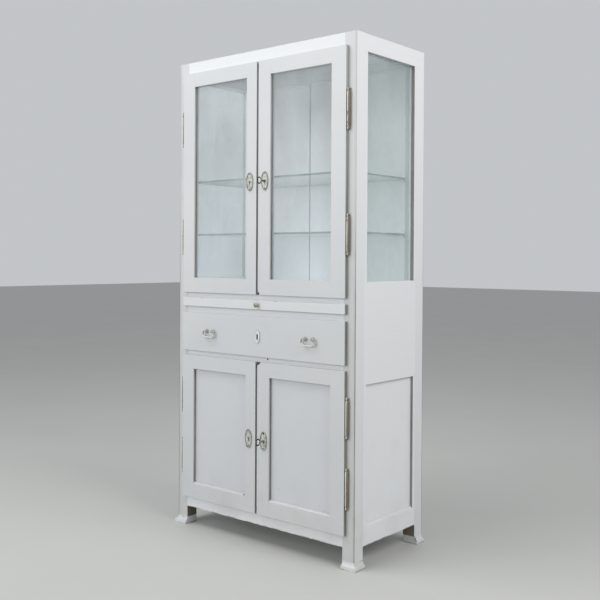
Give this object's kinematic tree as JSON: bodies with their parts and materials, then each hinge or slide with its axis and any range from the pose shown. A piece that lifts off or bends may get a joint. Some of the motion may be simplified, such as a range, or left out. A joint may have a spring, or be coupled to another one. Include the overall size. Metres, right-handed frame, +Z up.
{
  "type": "apothecary cabinet",
  "caption": "Tall white pharmacy cabinet: glazed double doors over a pull-out shelf, a drawer and a panelled double-door cupboard, on flared feet.",
  "frame": {"origin": "on the floor, under the middle of the whole cabinet's box, with the key bows and the flared feet included", "axes": "+Z up; +X to the right of a person who faces the doors; +Y from the front to the back"},
  "size_m": [0.86, 0.463, 1.76],
  "materials": {
    "white_paint": "aged white oil paint on wood, satin",
    "inside_paint": "white paint on wood, satin",
    "bare_wood": "bare aged pine",
    "window_glass": "clear old window glass",
    "shelf_glass": "clear plate glass, green edges",
    "painted_iron": "white oil paint over iron, worn",
    "aged_brass": "tarnished brass",
    "dark_iron": "dark oiled iron",
    "nickel": "worn nickel plate"
  },
  "bodies": {
    "carcass": {"front_posts": "white_paint", "rear_posts": "white_paint", "feet": "white_paint", "top_board": "white_paint", "front_rails": "white_paint", "back_rails": "bare_wood", "back_boards": "inside_paint", "side_frames": "white_paint", "side_glass": "window_glass", "side_beads": "inside_paint", "side_panels": "white_paint", "display_floor": "inside_paint", "bearers": "bare_wood", "cupboard_floor": "inside_paint", "cupboard_shelf": "inside_paint", "shelf_cleats": "bare_wood", "glass_shelves": "shelf_glass", "shelf_pegs": "aged_brass", "hinge_post_leaves": "painted_iron", "hinge_pins": "dark_iron"},
    "upper_left_door": {"upper_left_door_frame": "white_paint", "upper_left_door_glass": "window_glass", "upper_left_door_beads": "inside_paint", "upper_left_door_hinges": "painted_iron", "upper_left_plate": "aged_brass", "upper_latch_plate": "dark_iron"},
    "upper_latch": {"upper_latch": "dark_iron"},
    "upper_right_door": {"upper_right_door_frame": "white_paint", "upper_right_door_glass": "window_glass", "upper_right_door_beads": "inside_paint", "upper_right_door_hinges": "painted_iron", "upper_right_plate": "aged_brass", "upper_lock_case": "dark_iron"},
    "upper_lock_bolt": {"upper_lock_bolt": "dark_iron"},
    "upper_key": {"upper_key": "dark_iron"},
    "lower_left_door": {"lower_left_door_frame": "white_paint", "lower_left_door_panel": "white_paint", "lower_left_door_hinges": "painted_iron", "lower_left_plate": "aged_brass", "lower_latch_plate": "dark_iron"},
    "lower_latch": {"lower_latch": "dark_iron"},
    "lower_right_door": {"lower_right_door_frame": "white_paint", "lower_right_door_panel": "white_paint", "lower_right_door_hinges": "painted_iron", "lower_right_plate": "aged_brass", "lower_lock_case": "dark_iron"},
    "lower_lock_bolt": {"lower_lock_bolt": "dark_iron"},
    "lower_key": {"lower_key": "nickel"},
    "drawer": {"drawer_front": "white_paint", "drawer_box": "bare_wood", "drawer_bottom": "bare_wood", "drawer_plate": "painted_iron", "drawer_lock_case": "dark_iron", "handle_posts": "painted_iron"},
    "drawer_lock_bolt": {"drawer_lock_bolt": "dark_iron"},
    "left_handle": {"left_handle": "painted_iron"},
    "right_handle": {"right_handle": "painted_iron"},
    "pull_out_shelf": {"slide_board": "bare_wood", "slide_front": "white_paint", "slide_knob": "aged_brass"}
  },
  "joints": [
    {"name": "upper_left_door_swing", "type": "hinge", "parent": "carcass", "child": "upper_left_door", "pos_m": [-0.393, -0.185, 1.3025], "axis": [0, 0, -1], "range_deg": [0, 170]},
    {"name": "upper_right_door_swing", "type": "hinge", "parent": "carcass", "child": "upper_right_door", "pos_m": [0.393, -0.185, 1.3025], "axis": [0, 0, 1], "range_deg": [0, 170]},
    {"name": "lower_left_door_swing", "type": "hinge", "parent": "carcass", "child": "lower_left_door", "pos_m": [-0.393, -0.185, 0.38], "axis": [0, 0, -1], "range_deg": [0, 170]},
    {"name": "lower_right_door_swing", "type": "hinge", "parent": "carcass", "child": "lower_right_door", "pos_m": [0.393, -0.185, 0.38], "axis": [0, 0, 1], "range_deg": [0, 170]},
    {"name": "upper_key_turn", "type": "hinge", "parent": "upper_right_door", "child": "upper_key", "pos_m": [0.032, -0.1915, 1.291], "axis": [0, 1, 0], "range_deg": [0, 360]},
    {"name": "upper_lock_bolt_slide", "type": "slide", "parent": "upper_right_door", "child": "upper_lock_bolt", "axis": [-1, 0, 0], "range_m": [0, 0.0076]},
    {"name": "lower_key_turn", "type": "hinge", "parent": "lower_right_door", "child": "lower_key", "pos_m": [0.032, -0.1915, 0.374], "axis": [0, 1, 0], "range_deg": [0, 360]},
    {"name": "lower_lock_bolt_slide", "type": "slide", "parent": "lower_right_door", "child": "lower_lock_bolt", "axis": [-1, 0, 0], "range_m": [0, 0.0076]},
    {"name": "upper_latch_slide", "type": "slide", "parent": "upper_left_door", "child": "upper_latch", "axis": [0, 0, 1], "range_m": [0, 0.012]},
    {"name": "lower_latch_slide", "type": "slide", "parent": "lower_left_door", "child": "lower_latch", "axis": [0, 0, 1], "range_m": [0, 0.012]},
    {"name": "drawer_slide", "type": "slide", "parent": "carcass", "child": "drawer", "axis": [0, -1, 0], "range_m": [0, 0.28]},
    {"name": "left_handle_lift", "type": "hinge", "parent": "drawer", "child": "left_handle", "pos_m": [-0.238, -0.2015, 0.7463], "axis": [-1, 0, 0], "range_deg": [0, 100]},
    {"name": "right_handle_lift", "type": "hinge", "parent": "drawer", "child": "right_handle", "pos_m": [0.238, -0.2015, 0.7463], "axis": [-1, 0, 0], "range_deg": [0, 100]},
    {"name": "drawer_lock_bolt_slide", "type": "slide", "parent": "drawer", "child": "drawer_lock_bolt", "axis": [0, 0, 1], "range_m": [0, 0.006]},
    {"name": "pull_out_shelf_slide", "type": "slide", "parent": "carcass", "child": "pull_out_shelf", "axis": [0, -1, 0], "range_m": [0, 0.25]}
  ],
  "couplings": [
    {"joint": "upper_lock_bolt_slide", "follows": "upper_key_turn", "m_per_rad": 0.0011937},
    {"joint": "lower_lock_bolt_slide", "follows": "lower_key_turn", "m_per_rad": 0.0011937}
  ]
}
